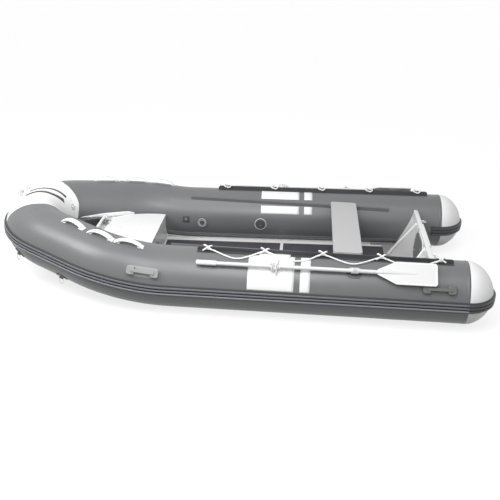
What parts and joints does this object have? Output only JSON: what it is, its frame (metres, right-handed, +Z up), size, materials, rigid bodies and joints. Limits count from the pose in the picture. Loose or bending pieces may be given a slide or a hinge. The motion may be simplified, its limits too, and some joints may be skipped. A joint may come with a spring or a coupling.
{
  "type": "rigid inflatable boat",
  "caption": "Small rigid inflatable boat with air tubes, moulded hull and deck, bow locker with hinged lid, sliding bench seat, oars, lifelines and a transom for an outboard motor.",
  "frame": {"origin": "on the waterline, on the centreline, amidships", "axes": "+X towards the bow, +Y to port, +Z up"},
  "size_m": [3.5216, 1.7898, 0.7033],
  "materials": {
    "tube_fabric": "satin coated fabric",
    "nose_fabric": "satin coated fabric",
    "cone_fabric": "satin coated fabric",
    "strake_rubber": "ribbed satin rubber",
    "hull_laminate": "gloss gelcoat",
    "deck_laminate": "gloss gelcoat",
    "dark_tread": "non-skid",
    "transom_laminate": "gloss gelcoat",
    "pad_rubber": "matte moulded rubber",
    "lid_laminate": "gloss gelcoat",
    "rail_rubber": "satin",
    "seat_board": "satin gelcoat",
    "oar_tube": "satin anodised",
    "oar_plastic": "moulded",
    "blade_plastic": "moulded",
    "fitting_rubber": "moulded",
    "white_rubber": "moulded",
    "strap_webbing": "woven webbing",
    "valve_plastic": "moulded",
    "ring_steel": "polished stainless steel",
    "rope": "braided"
  },
  "bodies": {
    "boat": {"port_tube": "tube_fabric", "starboard_tube": "tube_fabric", "nose_section": "nose_fabric", "port_stern_cone": "cone_fabric", "starboard_stern_cone": "cone_fabric", "port_rub_strake": "strake_rubber", "starboard_rub_strake": "strake_rubber", "hull": "hull_laminate", "deck": "deck_laminate", "deck_pad_fore": "dark_tread", "deck_pad_aft": "dark_tread", "transom": "transom_laminate", "inner_motor_pad": "pad_rubber", "outer_motor_pad": "pad_rubber", "port_transom_knee": "transom_laminate", "starboard_transom_knee": "transom_laminate", "bow_locker": "deck_laminate", "lid_hinges": "ring_steel", "locker_latch": "pad_rubber", "port_seat_rail": "rail_rubber", "starboard_seat_rail": "rail_rubber", "port_lacing_strip": "strake_rubber", "starboard_lacing_strip": "strake_rubber", "port_rowlock": "fitting_rubber", "starboard_rowlock": "fitting_rubber", "port_carry_handles": "fitting_rubber", "starboard_carry_handles": "fitting_rubber", "port_grab_straps": "strap_webbing", "starboard_grab_straps": "strap_webbing", "bow_handle": "white_rubber", "air_valves": "valve_plastic", "tow_rings": "ring_steel", "tow_ring_patches": "strake_rubber", "mooring_eyes": "ring_steel", "port_lifeline": "rope", "starboard_lifeline": "rope"},
    "seat": {"bench_seat": "seat_board"},
    "lid": {"locker_lid": "lid_laminate"},
    "port_oar": {"port_oar_shaft": "oar_tube", "port_oar_grip": "oar_plastic", "port_oar_blade": "blade_plastic"},
    "starboard_oar": {"starboard_oar_shaft": "oar_tube", "starboard_oar_grip": "oar_plastic", "starboard_oar_blade": "blade_plastic"}
  },
  "joints": [
    {"name": "seat_slide", "type": "slide", "parent": "boat", "child": "seat", "axis": [0.9997, 0, 0.0235], "range_m": [-0.24, 1.06]},
    {"name": "lid_hinge", "type": "hinge", "parent": "boat", "child": "lid", "pos_m": [1.02634, 0, 0.30995], "axis": [0, 1, 0], "range_deg": [0, 95]},
    {"name": "port_oar_swing", "type": "hinge", "parent": "boat", "child": "port_oar", "pos_m": [-0.81124, 0.81144, 0.40915], "axis": [-0.0164, -0.6559, -0.7547], "range_deg": [0, 80]},
    {"name": "starboard_oar_swing", "type": "hinge", "parent": "boat", "child": "starboard_oar", "pos_m": [-0.81124, -0.81144, 0.40915], "axis": [0.0164, -0.6559, 0.7547], "range_deg": [0, 80]}
  ]
}
